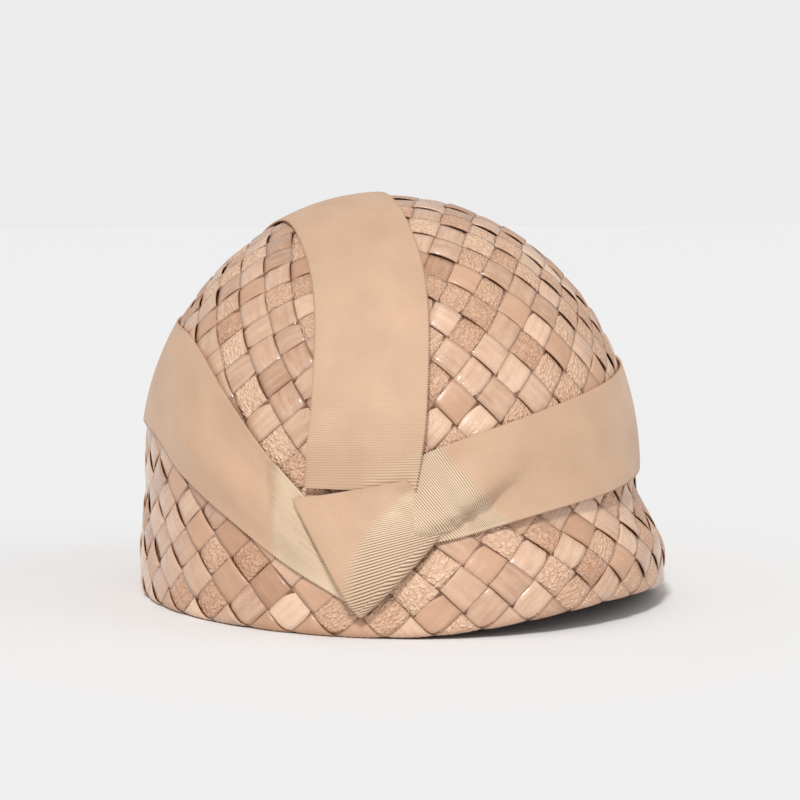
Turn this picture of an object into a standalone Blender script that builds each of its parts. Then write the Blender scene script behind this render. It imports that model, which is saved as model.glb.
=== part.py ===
"""Woven straw hat with a soft round crown, a bell-shaped side and a ribbon trim.

The hat rests on its rolled rim, with the floor at z = 0 and the front towards -Y.
Bearings are degrees round the hat: -90 is the front, 0 the +X side, 90 the back.
Elevations are degrees above the shoulder, seen from the middle of the crown.
"""

import math

import bmesh
import bpy
import numpy as np

# Sizes of the straw crown, in metres
HAT_HEIGHT = 0.149
RIM_LENGTH = 0.226
RIM_WIDTH = 0.195
CROWN_LENGTH = 0.209
CROWN_WIDTH = 0.182
SHOULDER_HEIGHT = 0.050
FLARE_TOP = 0.044
FLARE_FOOT = 0.014
CROWN_LEAN = 0.0045
BROW_LIFT = 0.008
STRAW_WALL = 0.002
HEM_ROLL = 0.003
HEM_DEPTH = 0.012

# Sizes of the ribbon trim
RIBBON_WIDTH = 0.038
RIBBON_WALL = 0.001
RIBBON_SEAT = 0.0005
LAYER_GAP = 0.0005
KNOT_PUFF = 0.0025

# Sizes of the head band inside
HEAD_BAND_HEIGHT = 0.030
HEAD_BAND_WALL = 0.001
HEAD_BAND_SEAT = 0.0004

# Where the rim lifts off the floor, and how far round that reaches, in degrees
BROW_BEARING = -55.0
BROW_REACH = 62.0

# How finely the sheets are stepped
RING_STEPS = 64
DOME_STEPS = 12
RIBBON_STEP = 0.008
RIBBON_STEPS_ACROSS = 4

# Rolled hem in section, from its free edge round to the outer wall.
# inset and height are shares of HEM_ROLL, and leg is a share of HEM_DEPTH.
HEM_SECTION = [
    # inset, height, leg
    (2.0, 0.0, 1.0),
    (2.0, 0.0, 0.6),
    (2.0, 1.0, 0.0),
    (1.72, 0.28, 0.0),
    (1.35, 0.0, 0.0),
    (0.65, 0.0, 0.0),
    (0.28, 0.28, 0.0),
    (0.0, 1.0, 0.0),
]

# Middle line of the band that crosses the front and goes round the hat.
# width is a share of RIBBON_WIDTH, layer counts ribbon layers under it.
BAND_ROUTE = [
    # bearing, elevation, width, layer
    (-113.0, -17.0, 0.25, 0.0),
    (-121.0, -11.0, 0.50, 0.0),
    (-136.0, -1.0, 0.74, 0.0),
    (-153.0, 10.0, 0.96, 0.0),
    (-171.0, 19.0, 1.00, 0.0),
    (-200.0, 21.5, 1.00, 0.0),
    (-230.0, 21.0, 1.00, 0.0),
    (-247.0, 20.5, 1.00, 1.0),
    (-265.0, 20.0, 1.00, 1.0),
    (-283.0, 19.5, 1.00, 1.0),
    (-300.0, 19.0, 1.00, 0.0),
    (-330.0, 17.0, 1.00, 0.0),
    (-360.0, 13.5, 1.00, 0.0),
    (-400.0, 10.0, 0.98, 0.0),
    (-431.0, 5.5, 0.90, 0.0),
    (-449.0, 1.5, 0.84, 0.0),
    (-458.0, -1.0, 0.52, 0.6),
    (-462.0, -2.0, 0.40, 1.0),
]

# Middle line of the strip that goes over the crown, from the front knot to the back.
STRIP_ROUTE = [
    # bearing, elevation, width, layer
    (-112.5, -1.0, 0.98, 0.0),
    (-110.5, 15.0, 1.00, 0.0),
    (-111.0, 38.0, 1.00, 0.0),
    (-119.0, 58.0, 1.00, 0.0),
    (-182.0, 77.0, 1.00, 0.0),
    (-245.0, 58.0, 1.00, 0.0),
    (-257.0, 40.0, 1.00, 0.0),
    (-261.0, 26.0, 1.00, 0.0),
]

# Outline of the knot's patch, corner by corner.
KNOT_CORNERS = {
    # bearing, elevation
    "left": (-125.0, -2.0),
    "top": (-103.0, 3.0),
    "right": (-98.0, -9.0),
    "foot": (-111.5, -21.5),
}
KNOT_STEPS = 10

HALF_TURN = 180.0


def smooth_step(value):
    """Ease from 0 to 1 with level ends."""
    share = np.clip(value, 0.0, 1.0)
    return share * share * (3.0 - 2.0 * share)


def brow_lift(bearing):
    """Height of the rim over the floor: a round hump at the brow, nothing elsewhere."""
    away = (bearing - BROW_BEARING + HALF_TURN) % (2.0 * HALF_TURN) - HALF_TURN
    share = np.clip(np.abs(away) / BROW_REACH, 0.0, 1.0)
    return BROW_LIFT * 0.5 * (1.0 + np.cos(np.pi * share))


def wall_sizes(height):
    """Half width, half length and sideways place of the wall at a height under the shoulder."""
    flare = 1.0 - smooth_step((height - FLARE_FOOT) / (FLARE_TOP - FLARE_FOOT))
    half_width = 0.5 * (CROWN_WIDTH + (RIM_WIDTH - CROWN_WIDTH) * flare)
    half_length = 0.5 * (CROWN_LENGTH + (RIM_LENGTH - CROWN_LENGTH) * flare)
    return half_width, half_length, -CROWN_LEAN * (1.0 - flare)


def wall_point(bearing, height, inset=0.0):
    """Point of the outer wall, moved inwards by inset, at a height under the shoulder."""
    half_width, half_length, middle = wall_sizes(height)
    turn = np.radians(bearing)
    lifted = height + brow_lift(bearing) * (1.0 - height / SHOULDER_HEIGHT)
    x = middle + (half_width - inset) * np.cos(turn)
    y = (half_length - inset) * np.sin(turn)
    return np.array([x, y, lifted])


def wall_inside(bearing, height, depth):
    """Point at a depth behind the outer wall, measured square to it."""
    small = 0.0005
    here = wall_point(bearing, height)
    above = wall_point(bearing, height + small)
    beside = wall_point(bearing + math.degrees(small / RIM_WIDTH), height)
    return here - depth * unit(np.cross(beside - here, above - here))


def dome_point(bearing, rise):
    """Point of the dome, where rise runs from 0 at the shoulder to 90 at the top."""
    turn = np.radians(bearing)
    slope = np.radians(rise)
    x = -CROWN_LEAN + 0.5 * CROWN_WIDTH * np.cos(slope) * np.cos(turn)
    y = 0.5 * CROWN_LENGTH * np.cos(slope) * np.sin(turn)
    z = SHOULDER_HEIGHT + (HAT_HEIGHT - SHOULDER_HEIGHT) * np.sin(slope)
    return np.array([x, y, z])


def crown_middle():
    """Middle of the crown at the shoulder, where elevations are measured."""
    return np.array([-CROWN_LEAN, 0.0, SHOULDER_HEIGHT])


def direction(bearing, elevation):
    """Unit vector of a bearing and an elevation in degrees."""
    turn = math.radians(bearing)
    slope = math.radians(elevation)
    flat = math.cos(slope)
    return np.array([flat * math.cos(turn), flat * math.sin(turn), math.sin(slope)])


def reach(way):
    """Distance from the crown's middle to its outer surface along a unit vector.

    Over the shoulder this is an ellipsoid's own formula. Under it the wall's oval at the
    height that the last guess gives is met again and again until the guess holds still.
    """
    half_width = 0.5 * CROWN_WIDTH
    half_length = 0.5 * CROWN_LENGTH
    dome_height = HAT_HEIGHT - SHOULDER_HEIGHT
    spread = (way[0] / half_width) ** 2 + (way[1] / half_length) ** 2
    if way[2] >= 0.0:
        return 1.0 / math.sqrt(spread + (way[2] / dome_height) ** 2)
    distance = 1.0 / math.sqrt(spread)
    bearing = math.degrees(math.atan2(way[1], way[0]))
    lift = float(brow_lift(bearing))
    for _ in range(12):
        height = SHOULDER_HEIGHT + distance * way[2]
        plain = (height - lift) / (1.0 - lift / SHOULDER_HEIGHT)
        half_width, half_length, middle = wall_sizes(plain)
        shift = middle + CROWN_LEAN
        a = (way[0] / half_width) ** 2 + (way[1] / half_length) ** 2
        b = -2.0 * way[0] * shift / half_width ** 2
        c = (shift / half_width) ** 2 - 1.0
        distance = (-b + math.sqrt(b * b - 4.0 * a * c)) / (2.0 * a)
    return distance


def surface_point(way):
    """Point where a unit vector from the crown's middle leaves the straw."""
    return crown_middle() + way * reach(way)


def surface_normal(way):
    """Outward normal there, from two neighbours a small step away."""
    small = 0.01
    side = unit(np.cross(way, [0.0, 0.0, 1.0]))
    up = np.cross(side, way)
    here = surface_point(way)
    beside = surface_point(unit(way + small * side))
    above = surface_point(unit(way + small * up))
    return unit(np.cross(above - here, beside - here))


def unit(vector):
    """The vector scaled to a length of one."""
    return vector / np.linalg.norm(vector)


def smooth_row(rows, place):
    """Row at a place along a table of rows, by a smooth curve through them."""
    last = len(rows) - 1
    i = min(int(place), last - 1)
    t = place - i
    before = rows[max(i - 1, 0)]
    here = rows[i]
    after = rows[i + 1]
    beyond = rows[min(i + 2, last)]
    near_slope = 0.5 * (after - before)
    far_slope = 0.5 * (beyond - here)
    rise = after - here
    return here + t * near_slope + t * t * (3.0 * rise - 2.0 * near_slope - far_slope) \
        + t ** 3 * (near_slope + far_slope - 2.0 * rise)


def ribbon_layer():
    """Height that one layer of ribbon adds to what lies on it."""
    return RIBBON_WALL + LAYER_GAP


def ribbon_place(route):
    """Function that puts a share along and across a ribbon on the crown."""
    rows = np.array([[*direction(b, e), width, layer] for b, e, width, layer in route])
    last = len(rows) - 1
    small = 0.02

    def place(along, across):
        here = smooth_row(rows, along * last)
        ahead = smooth_row(rows, min(along * last + small, last))
        behind = smooth_row(rows, max(along * last - small, 0.0))
        way = unit(here[:3])
        side = unit(np.cross(way, ahead[:3] - behind[:3]))
        half_width = 0.5 * RIBBON_WIDTH * here[3]
        way = unit(way + side * math.tan(across * half_width / reach(way)))
        lift = RIBBON_SEAT + ribbon_layer() * max(here[4], 0.0)
        return surface_point(way) + surface_normal(way) * lift

    return place


def ribbon_length(place):
    """Length of a ribbon's middle line."""
    line = np.array([place(share, 0.0) for share in np.linspace(0.0, 1.0, 61)])
    return float(np.linalg.norm(np.diff(line, axis=0), axis=1).sum())


def knot_place(along, across):
    """Point of the knot's patch, puffed up between its edges."""
    corners = {name: direction(*spot) for name, spot in KNOT_CORNERS.items()}
    u = 0.5 * (along + 1.0)
    v = 0.5 * (across + 1.0)
    upper = (1.0 - u) * corners["left"] + u * corners["top"]
    lower = (1.0 - u) * corners["foot"] + u * corners["right"]
    way = unit((1.0 - v) * lower + v * upper)
    puff = KNOT_PUFF * math.cos(0.5 * math.pi * along) * math.cos(0.5 * math.pi * across)
    lift = RIBBON_SEAT + 2.0 * ribbon_layer() + puff
    return surface_point(way) + surface_normal(way) * lift


def new_object(name, mesh, colour, roughness, collection):
    """Object of a mesh with its own cloth-like material."""
    material = bpy.data.materials.new(name)
    material.use_nodes = True
    shader = material.node_tree.nodes["Principled BSDF"]
    shader.inputs["Base Color"].default_value = (*colour, 1.0)
    shader.inputs["Roughness"].default_value = roughness
    mesh.materials.append(material)
    mesh.shade_smooth()
    made = bpy.data.objects.new(name, mesh)
    collection.objects.link(made)
    return made


def add_wall(target, thickness, side):
    """Give an open sheet its thickness, outwards for side 1 and inwards for side -1."""
    wall = target.modifiers.new("wall", "SOLIDIFY")
    wall.thickness = thickness
    wall.offset = side
    wall.use_even_offset = True


def face_outwards(mesh_data):
    """Turn a sheet's faces so that they point away from the crown's middle."""
    middle = crown_middle()
    facing = 0.0
    for face in mesh_data.faces:
        outwards = np.array(face.calc_center_median()) - middle
        facing += float(np.dot(face.normal, outwards)) * face.calc_area()
    if facing < 0.0:
        bmesh.ops.reverse_faces(mesh_data, faces=mesh_data.faces)


def sheet_mesh(name, steps_along, steps_across, place):
    """Grid whose points, from -1 to 1 each way, are put where place says."""
    grid = bmesh.new()
    bmesh.ops.create_grid(grid, x_segments=steps_along, y_segments=steps_across, size=1.0)
    for point in grid.verts:
        point.co = place(point.co.x, point.co.y)
    grid.normal_update()
    face_outwards(grid)
    mesh = bpy.data.meshes.new(name)
    grid.to_mesh(mesh)
    grid.free()
    return mesh


def turned_mesh(name, heights, place, closed_top):
    """Profile spun into a ring of RING_STEPS, whose points are put where place says.

    A point's row is kept as its z while it is spun, so place(bearing, row) can shape it.
    """
    ring = bmesh.new()
    profile = [ring.verts.new((1.0, 0.0, float(row))) for row in range(heights)]
    edges = [ring.edges.new(pair) for pair in zip(profile[:-1], profile[1:])]
    bmesh.ops.spin(ring, geom=profile + edges, cent=(0, 0, 0), axis=(0, 0, 1),
                   angle=2.0 * math.pi, steps=RING_STEPS, use_merge=True)
    bmesh.ops.remove_doubles(ring, verts=ring.verts, dist=0.0001)
    top = []
    for point in ring.verts:
        row = round(point.co.z)
        if row == heights - 1:
            top.append(point)
        bearing = math.degrees(math.atan2(point.co.y, point.co.x))
        point.co = place(bearing, row)
    if closed_top:
        bmesh.ops.pointmerge(ring, verts=top, merge_co=place(0.0, heights - 1))
    bmesh.ops.recalc_face_normals(ring, faces=ring.faces)
    ring.normal_update()
    face_outwards(ring)
    mesh = bpy.data.meshes.new(name)
    ring.to_mesh(mesh)
    ring.free()
    return mesh


def wall_heights():
    """Heights of the wall's rows from the hem up to the shoulder."""
    foot = np.linspace(HEM_ROLL, FLARE_FOOT, 3)[1:]
    flare = np.linspace(FLARE_FOOT, FLARE_TOP, 6)[1:]
    return [*foot, *flare]


def make_woven_crown(collection):
    """Straw shell: rolled hem, bell-shaped side and dome in one sheet."""
    heights = wall_heights()
    rises = np.linspace(0.0, 90.0, DOME_STEPS + 1)
    hem_rows = len(HEM_SECTION)

    def place(bearing, row):
        if row < hem_rows:
            inset, height, leg = HEM_SECTION[row]
            return wall_point(bearing, HEM_ROLL * height + HEM_DEPTH * leg, HEM_ROLL * inset)
        row -= hem_rows
        if row < len(heights):
            return wall_point(bearing, heights[row])
        return dome_point(bearing, rises[row - len(heights)])

    rows = hem_rows + len(heights) + len(rises)
    mesh = turned_mesh("woven_crown", rows, place, True)
    crown = new_object("woven_crown", mesh, (0.62, 0.45, 0.36), 0.5, collection)
    add_wall(crown, STRAW_WALL, -1.0)
    return crown


def make_head_band(collection):
    """Cloth band inside the wall, with its foot held in the rolled hem."""
    depth = STRAW_WALL + HEAD_BAND_SEAT
    foot = HEM_ROLL + HEAD_BAND_SEAT
    heights = np.linspace(foot, foot + HEAD_BAND_HEIGHT, 7)

    def place(bearing, row):
        return wall_inside(bearing, heights[row], depth)

    mesh = turned_mesh("head_band", len(heights), place, False)
    band = new_object("head_band", mesh, (0.55, 0.40, 0.28), 0.8, collection)
    add_wall(band, HEAD_BAND_WALL, -1.0)
    return band


def make_ribbon(name, route, collection):
    """Flat ribbon laid on the crown along a route."""
    place = ribbon_place(route)
    steps = round(ribbon_length(place) / RIBBON_STEP)

    def grid_place(along, across):
        return place(0.5 * (along + 1.0), across)

    mesh = sheet_mesh(name, steps, RIBBON_STEPS_ACROSS, grid_place)
    ribbon = new_object(name, mesh, (0.70, 0.54, 0.38), 0.6, collection)
    add_wall(ribbon, RIBBON_WALL, 1.0)
    return ribbon


def make_knot(collection):
    """Ribbon patch wrapped over the place where the strips meet."""
    mesh = sheet_mesh("ribbon_knot", KNOT_STEPS, KNOT_STEPS, knot_place)
    knot = new_object("ribbon_knot", mesh, (0.72, 0.56, 0.40), 0.6, collection)
    add_wall(knot, RIBBON_WALL, 1.0)
    return knot


def main():
    for old in list(bpy.data.objects):
        bpy.data.objects.remove(old, do_unlink=True)
    collection = bpy.data.collections.new("straw_hat")
    bpy.context.scene.collection.children.link(collection)
    make_woven_crown(collection)
    make_head_band(collection)
    make_ribbon("ribbon_band", BAND_ROUTE, collection)
    make_ribbon("crown_strip", STRIP_ROUTE, collection)
    make_knot(collection)


main()
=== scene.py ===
import math

import bpy
import numpy as np
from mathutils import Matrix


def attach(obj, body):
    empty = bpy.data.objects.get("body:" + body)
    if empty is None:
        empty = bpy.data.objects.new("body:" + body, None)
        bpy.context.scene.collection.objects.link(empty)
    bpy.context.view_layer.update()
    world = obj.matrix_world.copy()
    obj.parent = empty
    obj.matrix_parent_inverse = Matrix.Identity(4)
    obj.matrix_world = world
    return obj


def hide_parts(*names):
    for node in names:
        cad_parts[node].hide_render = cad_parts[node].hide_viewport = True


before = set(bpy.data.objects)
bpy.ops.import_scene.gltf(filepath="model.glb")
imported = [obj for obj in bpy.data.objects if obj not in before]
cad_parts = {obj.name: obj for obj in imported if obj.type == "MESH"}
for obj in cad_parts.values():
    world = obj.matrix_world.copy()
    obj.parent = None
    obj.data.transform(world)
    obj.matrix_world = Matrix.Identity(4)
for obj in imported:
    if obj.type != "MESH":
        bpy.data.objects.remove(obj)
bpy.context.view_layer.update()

# Sizes of the straw crown, in metres
HAT_HEIGHT = 0.149
RIM_LENGTH = 0.226
RIM_WIDTH = 0.195
CROWN_LENGTH = 0.209
CROWN_WIDTH = 0.182
SHOULDER_HEIGHT = 0.050
FLARE_TOP = 0.044
FLARE_FOOT = 0.014
CROWN_LEAN = 0.0045
BROW_LIFT = 0.008
BROW_BEARING = -55.0
BROW_REACH = 62.0
STRAW_WALL = 0.002
HEM_ROLL = 0.003
HEM_DEPTH = 0.012

# Sizes of the ribbon trim and of the head band
RIBBON_WIDTH = 0.038
RIBBON_WALL = 0.0007
RIBBON_SEAT = 0.0005
LAYER_STEP = 0.0015
RIB_PITCH = 0.0009
RIB_DEPTH = 0.00009
RIB_FLAT_SHARE = 0.2
SELVEDGE_TOOTH = 0.018
HEAD_BAND_HEIGHT = 0.030
HEAD_BAND_LENGTH = 0.63
HEAD_BAND_SEAT = 0.0004
HEAD_BAND_WALL = 0.0007

# The weave: strips per quarter, where its first quarter points, and its set on the wall
STRIPS = 9
WEAVE_TURN = -67.0
WALL_STRETCH = 1.12
WEAVE_SHEAR = 5.0
FLOAT_RISE = 0.00055
FLOAT_TUCK = 0.2
STRAW_THICK = 0.0003
BASE_SINK = 0.0006
FLOAT_LEAN = 0.0011
HEM_SQUEEZE = 0.0025

# Kind of straw of each strip round the hat: satin, crinkled or matte
STRIP_KINDS = "MSCCSMCSSMCCSSCSMMMSSCSCCSMSSSCCSSCC"

# Points along and across a float, and how far a float stays inside its strip. The backs
# of the floats overlap a little, so that no light comes through.
FLOAT_ROWS, FLOAT_COLUMNS, FLOAT_GAP = 13, 7, 0.02
BACK_ROWS, BACK_COLUMNS, BACK_GAP, BACK_TUCK = 7, 3, -0.02, 0.01
BACK_DEPTH = 0.0004
FLOAT_DROOP = 0.00010

# Each float has its own square of the straw's map, MAP_LANES squares in a row
MAP_CELL = 0.02
MAP_LANES = 97

# Relief of the band and the crown strip over the straw, in metres. RIDGE_CREST and
# RIDGE_LEAN are shares of the band's half width.
RIBBON_REST = 0.0003
BAND_WAVE = 0.00025
BAND_ROLL = 0.0024
BAND_EDGE_PROUD = 0.0016
RIDGE_RISE = 0.0048
RIDGE_CREST = 0.26
RIDGE_LEAN = 0.08
STRIP_WAVE = 0.0002
STRIP_EDGE_PROUD = 0.0022
STRIP_RISE = 0.0010

# Middle line of the band that crosses the front and goes round the hat.
# width is a share of RIBBON_WIDTH, layer counts ribbon layers under it.
BAND_ROUTE = [
    # bearing, elevation, width, layer
    (-113.0, -17.0, 0.25, 0.0),
    (-121.0, -11.0, 0.50, 0.0),
    (-136.0, -1.0, 0.74, 0.0),
    (-153.0, 10.0, 0.96, 0.0),
    (-171.0, 19.0, 1.00, 0.0),
    (-200.0, 21.5, 1.00, 0.0),
    (-230.0, 21.0, 1.00, 0.0),
    (-247.0, 20.5, 1.00, 1.0),
    (-265.0, 20.0, 1.00, 1.0),
    (-283.0, 19.5, 1.00, 1.0),
    (-300.0, 19.0, 1.00, 0.0),
    (-330.0, 17.0, 1.00, 0.0),
    (-360.0, 13.5, 1.00, 0.0),
    (-400.0, 10.0, 0.98, 0.0),
    (-431.0, 5.5, 0.90, 0.0),
    (-449.0, 1.5, 0.84, 0.0),
    (-458.0, -1.0, 0.78, 0.0),
    (-467.0, -3.2, 0.62, 0.0),
    (-476.0, -6.5, 0.45, 0.0),
]

# Middle line of the strip that goes over the crown, from the front knot to the back.
STRIP_ROUTE = [
    # bearing, elevation, width, layer
    (-112.5, -1.0, 0.98, 0.7),
    (-110.5, 15.0, 1.00, 0.3),
    (-111.0, 38.0, 1.00, 0.0),
    (-119.0, 58.0, 1.00, 0.0),
    (-182.0, 77.0, 1.00, 0.0),
    (-245.0, 58.0, 1.00, 0.0),
    (-257.0, 40.0, 1.00, 0.0),
    (-261.0, 26.0, 1.00, 0.0),
]

# Outline of the knot's patch, corner by corner.
KNOT_CORNERS = {
    # bearing, elevation
    "left": (-125.2, -2.0),
    "top": (-103.4, 2.2),
    "right": (-96.2, -6.4),
    "foot": (-111.5, -21.3),
}

# Sizes of the knot's patch, in metres. KNOT_TURNING is where along v its roll begins.
KNOT_LENGTH = 0.036
KNOT_RUN = 0.044
KNOT_ROLL_RUN = 0.035
KNOT_TURNING = 0.84
KNOT_ROLL_SMALL = 0.0007
KNOT_ROLL_MORE = 0.0014
KNOT_PUFF = 0.0016
KNOT_TOOTH = 0.0003
KNOT_OVER_CREASE = 0.0009
KNOT_OVER_BAND = 0.0005
KNOT_SUNK = 0.0002
KNOT_SUNK_RISE = 0.0022
KNOT_EDGE_PROUD = 0.0016

DOME_HEIGHT = HAT_HEIGHT - SHOULDER_HEIGHT
MEAN_RADIUS = 0.25 * (CROWN_WIDTH + CROWN_LENGTH)
MIDDLE = np.array([-CROWN_LEAN, 0.0, SHOULDER_HEIGHT])
FRONT_RADIUS = 0.107


# The hat's surface

def smooth_step(value):
    """Ease from 0 to 1 with level ends: 3t^2 - 2t^3."""
    share = np.clip(value, 0.0, 1.0)
    return share * share * (3.0 - 2.0 * share)


def brow_lift(bearing):
    """Raised cosine round BROW_BEARING: how far the rim is off the floor."""
    away = (bearing - BROW_BEARING + 180.0) % 360.0 - 180.0
    share = np.clip(np.abs(away) / BROW_REACH, 0.0, 1.0)
    return BROW_LIFT * 0.5 * (1.0 + np.cos(np.pi * share))


def wall_sizes(height):
    """Half sizes and middle of the wall's oval, eased from the crown's to the rim's."""
    flare = 1.0 - smooth_step((height - FLARE_FOOT) / (FLARE_TOP - FLARE_FOOT))
    half_width = 0.5 * (CROWN_WIDTH + (RIM_WIDTH - CROWN_WIDTH) * flare)
    half_length = 0.5 * (CROWN_LENGTH + (RIM_LENGTH - CROWN_LENGTH) * flare)
    return half_width, half_length, -CROWN_LEAN * (1.0 - flare)


def wall_points(bearing, height, inset=0.0):
    """Oval of wall_sizes at a height, lifted by brow_lift towards the foot."""
    half_width, half_length, middle = wall_sizes(height)
    turn = np.radians(bearing)
    lifted = height + brow_lift(bearing) * (1.0 - height / SHOULDER_HEIGHT)
    x = middle + (half_width - inset) * np.cos(turn)
    y = (half_length - inset) * np.sin(turn)
    return np.stack(np.broadcast_arrays(x, y, lifted), axis=-1)


def dome_points(bearing, rise):
    """Half ellipsoid: rise is 0 at the shoulder and 90 at the top."""
    turn = np.radians(bearing)
    slope = np.radians(rise)
    x = -CROWN_LEAN + 0.5 * CROWN_WIDTH * np.cos(slope) * np.cos(turn)
    y = 0.5 * CROWN_LENGTH * np.cos(slope) * np.sin(turn)
    z = SHOULDER_HEIGHT + DOME_HEIGHT * np.sin(slope)
    return np.stack(np.broadcast_arrays(x, y, z), axis=-1)


def skin_points(bearing, station):
    """Point at a station down the hat: 0 to 1 the dome, 1 to 2 the wall, 2 to 3 half a
    circle round the hem, 3 to 4 up the turned-in leg."""
    rise = 90.0 * (1.0 - np.clip(station, 0.0, 1.0))
    height = SHOULDER_HEIGHT + (HEM_ROLL - SHOULDER_HEIGHT) * np.clip(station - 1.0, 0.0, 1.0)
    curl = np.pi * np.clip(station - 2.0, 0.0, 1.0)
    leg = (HEM_DEPTH - HEM_ROLL) * np.clip(station - 3.0, 0.0, None)
    inset = HEM_ROLL * (1.0 - np.cos(curl))
    low = height - HEM_ROLL * np.sin(curl) + leg
    return np.where((station <= 1.0)[..., None], dome_points(bearing, rise),
                    wall_points(bearing, low, inset))


def unit(vectors):
    """Vectors over their own lengths."""
    return vectors / np.maximum(np.linalg.norm(vectors, axis=-1, keepdims=True), 1e-12)


def skin_normals(bearing, station):
    """Outward normal: the ellipsoid's gradient on the dome, and below it the cross
    product of small steps round and down."""
    dome = dome_points(bearing, 90.0 * (1.0 - np.clip(station, 0.0, 1.0))) - MIDDLE
    scale = np.array([0.5 * CROWN_WIDTH, 0.5 * CROWN_LENGTH, DOME_HEIGHT])
    round_step = skin_points(bearing + 0.2, station) - skin_points(bearing - 0.2, station)
    low = np.maximum(station, 1.02)
    down_step = skin_points(bearing, low + 0.01) - skin_points(bearing, low - 0.01)
    wall = unit(np.cross(down_step, round_step))
    return np.where((station <= 1.0)[..., None], unit(dome / scale ** 2), wall)


def profile_table():
    """Arc length from the top and log of the stretched radius, station by station, on
    the hat's mean profile."""
    station = np.concatenate([np.linspace(0.0, 1.0, 400), np.linspace(1.0, 2.0, 200)[1:],
                              np.linspace(2.0, 3.0, 60)[1:], np.linspace(3.0, 4.6, 60)[1:]])
    beside = 45.0 * np.arange(8) + 22.5
    rows = skin_points(beside[None, :], station[:, None] + np.zeros((1, 8)))
    lengths = np.linalg.norm(np.diff(rows, axis=0), axis=-1).mean(axis=1)
    arc = np.concatenate([[0.0], np.cumsum(lengths)])
    radius = np.linalg.norm(rows[..., :2] - MIDDLE[:2], axis=-1).mean(axis=1)
    stretch = np.where(station > 1.0, WALL_STRETCH, 1.0)
    first = 4  # the top itself has no radius to take the log of
    steps = np.diff(arc[first:]) * 0.5 * (stretch[first + 1:] / radius[first + 1:]
                                          + stretch[first:-1] / radius[first:-1])
    log_radius = np.log(radius[first]) + np.concatenate([[0.0], np.cumsum(steps)])
    return station[first:], arc[first:], log_radius


STATIONS, ARCS, LOG_RADII = profile_table()
ARC_END = float(np.interp(4.0, STATIONS, ARCS))


# The weave's map from strip numbers to the hat

def weave_speed(place):
    """Fourth root of 1 + z^4, written so that it is smooth outside the unit circle too."""
    inside = np.abs(place) <= 1.0
    outer = np.where(inside, 2.0, place)
    inner = np.where(inside, place, 0.0)
    return np.where(inside, (1.0 + inner ** 4) ** 0.25, outer * (1.0 + outer ** -4.0) ** 0.25)


def runge_step(place, step):
    """One fourth-order step of dz/dw = weave_speed(z)."""
    a = weave_speed(place)
    b = weave_speed(place + 0.5 * step * a)
    c = weave_speed(place + 0.5 * step * b)
    d = weave_speed(place + step * c)
    return place + step * (a + 2.0 * b + 2.0 * c + d) / 6.0


# Steps along the map's real axis and away from it, and the cells tried on each side
AXIS_STEP = 0.005
AXIS_COUNT = 900
TURN_STEPS = 24
MOST_STRIPS = 40

# Size of a cell on the map: STRIPS of them reach from the top to the map's corner
CELL_SCALE = math.pi / (2.0 * math.sqrt(2.0) * STRIPS)


def axis_table():
    """The map along its real axis, by equal steps."""
    values = [np.array(0.0 + 0.0j)]
    for _ in range(AXIS_COUNT):
        values.append(runge_step(values[-1], AXIS_STEP))
    return np.array(values).real


AXIS = axis_table()


def weave_place(p, q, sector):
    """Bearing and arc length of strip numbers p and q in a quarter of the hat.

    The grid of squares is carried by a conformal map: square at the top, and a slanting
    lattice round the wall, so that cells stay square all over."""
    across = CELL_SCALE * (p + q) / math.sqrt(2.0)
    turned = CELL_SCALE * (q - p) / math.sqrt(2.0)
    place = np.interp(across, AXIS_STEP * np.arange(len(AXIS)), AXIS) + 0.0j
    for _ in range(TURN_STEPS):
        place = runge_step(place, 1j * turned / TURN_STEPS)
    log_radius = np.log(np.maximum(np.abs(place), 1e-6) * MEAN_RADIUS)
    arc = np.interp(log_radius, LOG_RADII, ARCS)
    small = log_radius < LOG_RADII[0]
    arc = np.where(small, np.exp(log_radius), arc)
    bearing = WEAVE_TURN + 90.0 * sector + np.degrees(np.angle(place))
    return bearing - WEAVE_SHEAR * arc / MEAN_RADIUS, arc


def weave_cells():
    """Cells (i, j, quarter) whose middles lie on the hat."""
    strips = np.arange(MOST_STRIPS)
    i, j, sector = np.meshgrid(strips, strips, np.arange(4), indexing="ij")
    keep = (i - j > -STRIPS) & (i - j <= STRIPS)
    i, j, sector = i[keep], j[keep], sector[keep]
    _, arc = weave_place(i + 0.5, j + 0.5, sector)
    past_leg = 0.001
    keep = arc < ARC_END + past_leg
    return i[keep], j[keep], sector[keep]


def hashed(number, salt):
    """Even share from 0 to 1 that looks random: number and salt times large numbers, then
    three times the remainder of a division by a prime, the last two after a factor."""
    prime = 2147483647
    factor = 48271
    value = (number * 73856093 + salt * 19349663 + 12345) % prime
    value = (value * factor) % prime
    value = (value * factor) % prime
    return value / prime


# Building meshes

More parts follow.
